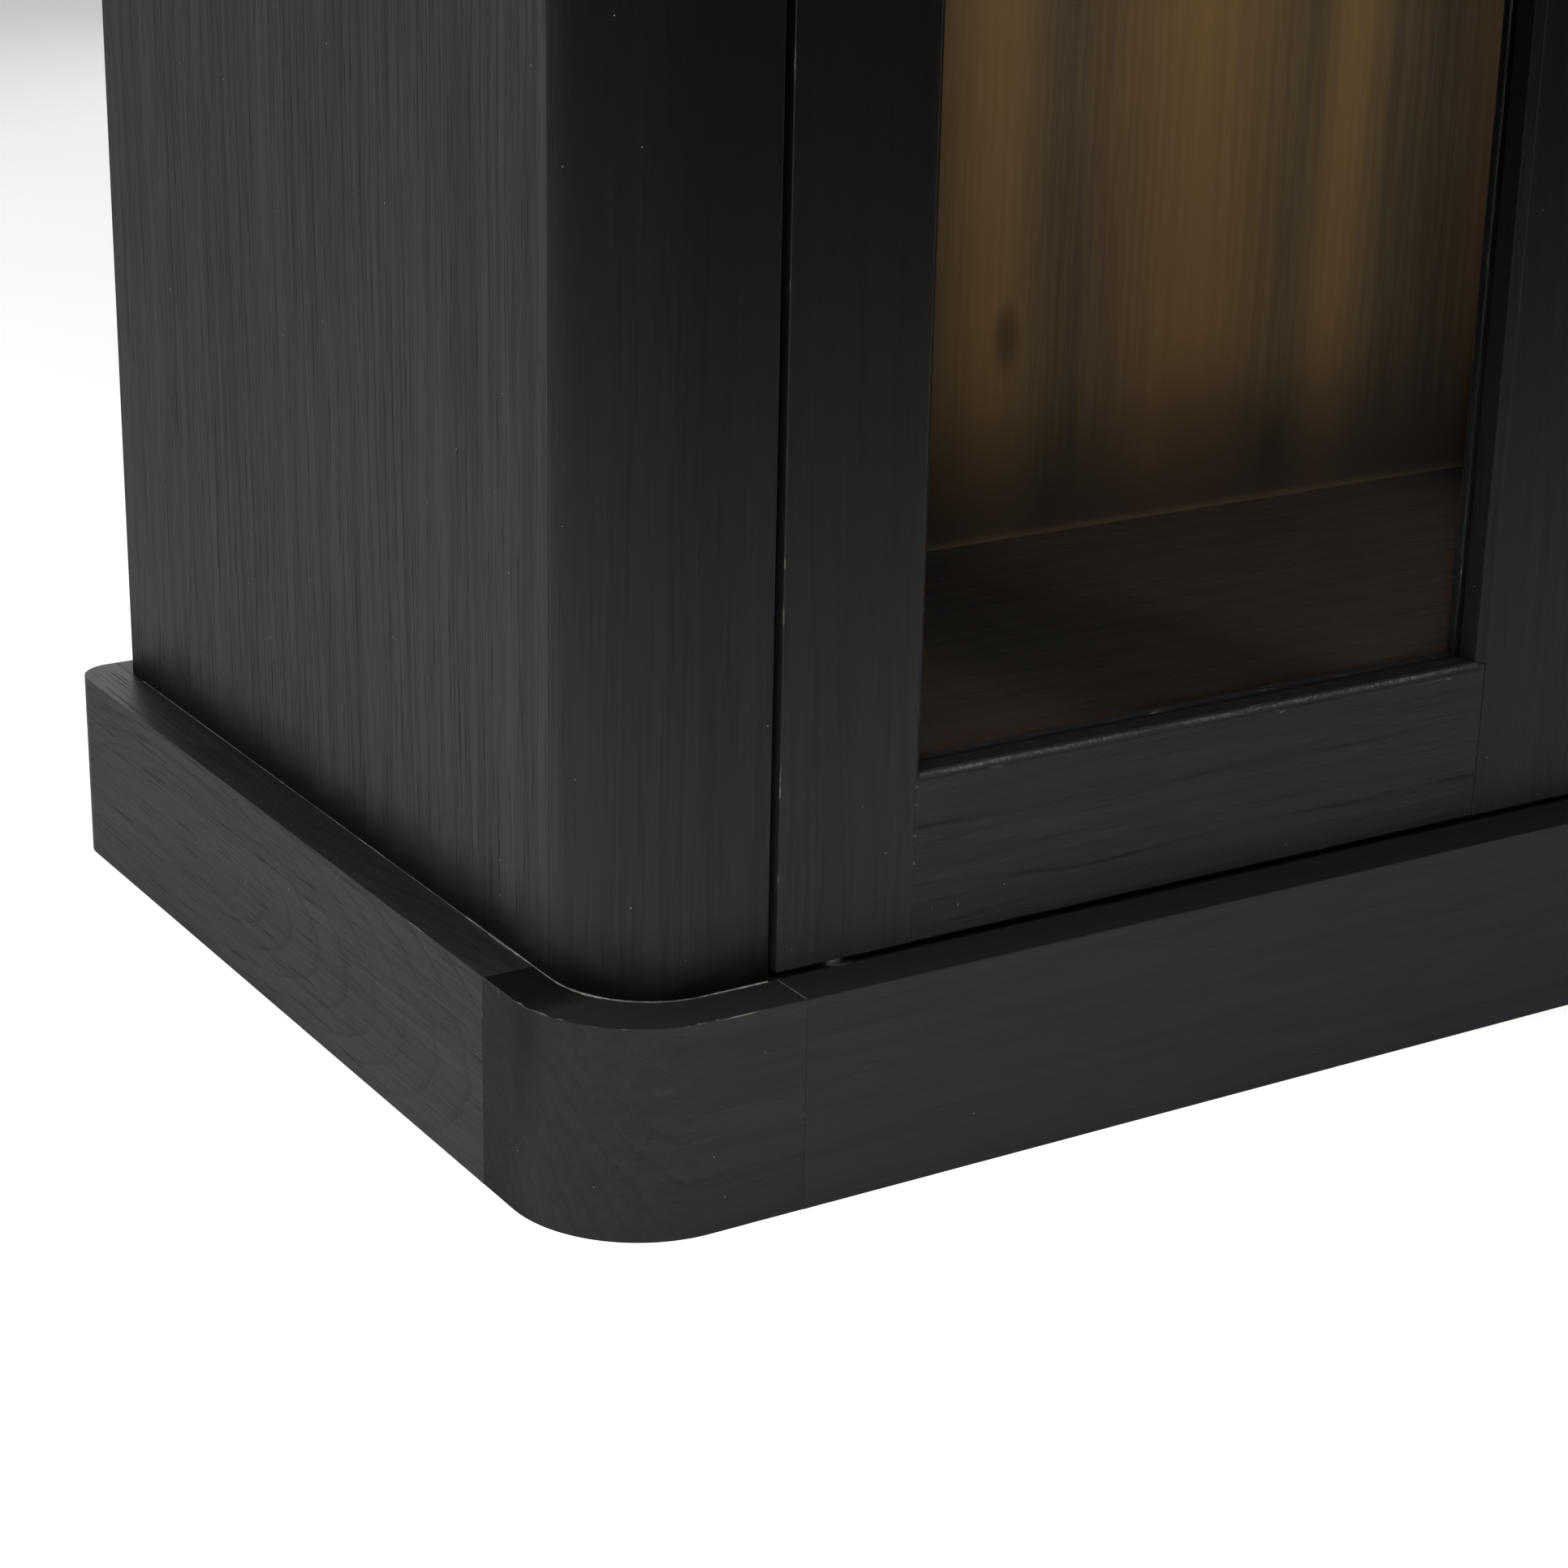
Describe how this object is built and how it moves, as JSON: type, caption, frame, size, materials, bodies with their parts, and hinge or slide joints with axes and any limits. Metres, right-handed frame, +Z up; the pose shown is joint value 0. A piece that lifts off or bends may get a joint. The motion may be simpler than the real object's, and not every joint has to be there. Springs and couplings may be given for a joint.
{
  "type": "curio cabinet",
  "caption": "Tall dark-stained curio cabinet with glazed doors on concealed pivots, rounded corner posts, glass shelves, and a wider plinth and crown.",
  "frame": {"origin": "on the floor, under the middle of the plinth", "axes": "+Z up, +Y from the doors to the back, +X to the right of someone facing the doors"},
  "size_m": [0.932, 0.458, 2.03],
  "materials": {
    "charcoal_wood": "semi-matte charcoal stain with open grain",
    "warm_wood": "semi-matte warm brown veneer",
    "dark_wood": "semi-matte dark brown veneer",
    "raw_wood": "unfinished softwood",
    "door_glass": "clear polished",
    "shelf_glass": "clear polished, green at the edges",
    "steel": "zinc plated",
    "gunmetal": "satin gunmetal",
    "brass": "turned",
    "black_plastic": "fine texture",
    "magnet": "plated magnet"
  },
  "bodies": {
    "cabinet": {"plinth_front_board": "charcoal_wood", "plinth_side_board_left": "charcoal_wood", "plinth_side_board_right": "charcoal_wood", "plinth_back_board": "charcoal_wood", "plinth_corner_block_left": "charcoal_wood", "plinth_corner_block_right": "charcoal_wood", "crown_front_board": "charcoal_wood", "crown_side_board_left": "charcoal_wood", "crown_side_board_right": "charcoal_wood", "crown_back_board": "charcoal_wood", "crown_corner_block_left": "charcoal_wood", "crown_corner_block_right": "charcoal_wood", "front_post_left": "charcoal_wood", "front_post_right": "charcoal_wood", "side_panel_left": "charcoal_wood", "side_panel_right": "charcoal_wood", "bottom_panel": "dark_wood", "top_panel": "dark_wood", "roof_panel": "charcoal_wood", "back_panel": "warm_wood", "base_rail_front": "raw_wood", "base_rail_back": "raw_wood", "base_stretcher": "raw_wood", "crown_rail_front": "raw_wood", "crown_rail_back": "raw_wood", "glass_shelf_1": "shelf_glass", "glass_shelf_2": "shelf_glass", "glass_shelf_3": "shelf_glass", "glass_shelf_4": "shelf_glass", "shelf_pegs": "steel", "pivot_pins": "steel", "catch_body": "black_plastic", "catch_magnets": "magnet", "catch_screws": "steel", "wall_brackets": "steel", "bracket_screws": "steel", "plinth_screws": "steel", "crown_screws": "steel"},
    "left_door": {"hinge_stile_left": "charcoal_wood", "meeting_stile_left": "charcoal_wood", "top_rail_left": "charcoal_wood", "bottom_rail_left": "charcoal_wood", "door_glass_left": "door_glass", "upright_beads_left": "charcoal_wood", "level_beads_left": "charcoal_wood", "pivot_bushes_left": "brass", "strike_plate_left": "steel", "knob_left": "gunmetal", "knob_screw_left": "steel"},
    "right_door": {"hinge_stile_right": "charcoal_wood", "meeting_stile_right": "charcoal_wood", "top_rail_right": "charcoal_wood", "bottom_rail_right": "charcoal_wood", "door_glass_right": "door_glass", "upright_beads_right": "charcoal_wood", "level_beads_right": "charcoal_wood", "pivot_bushes_right": "brass", "strike_plate_right": "steel", "knob_right": "gunmetal", "knob_screw_right": "steel"}
  },
  "joints": [
    {"name": "left_door_hinge", "type": "hinge", "parent": "cabinet", "child": "left_door", "pos_m": [-0.3505, -0.2, 1], "axis": [0, 0, -1], "range_deg": [0, 110]},
    {"name": "right_door_hinge", "type": "hinge", "parent": "cabinet", "child": "right_door", "pos_m": [0.3505, -0.2, 1], "axis": [0, 0, 1], "range_deg": [0, 110]}
  ]
}
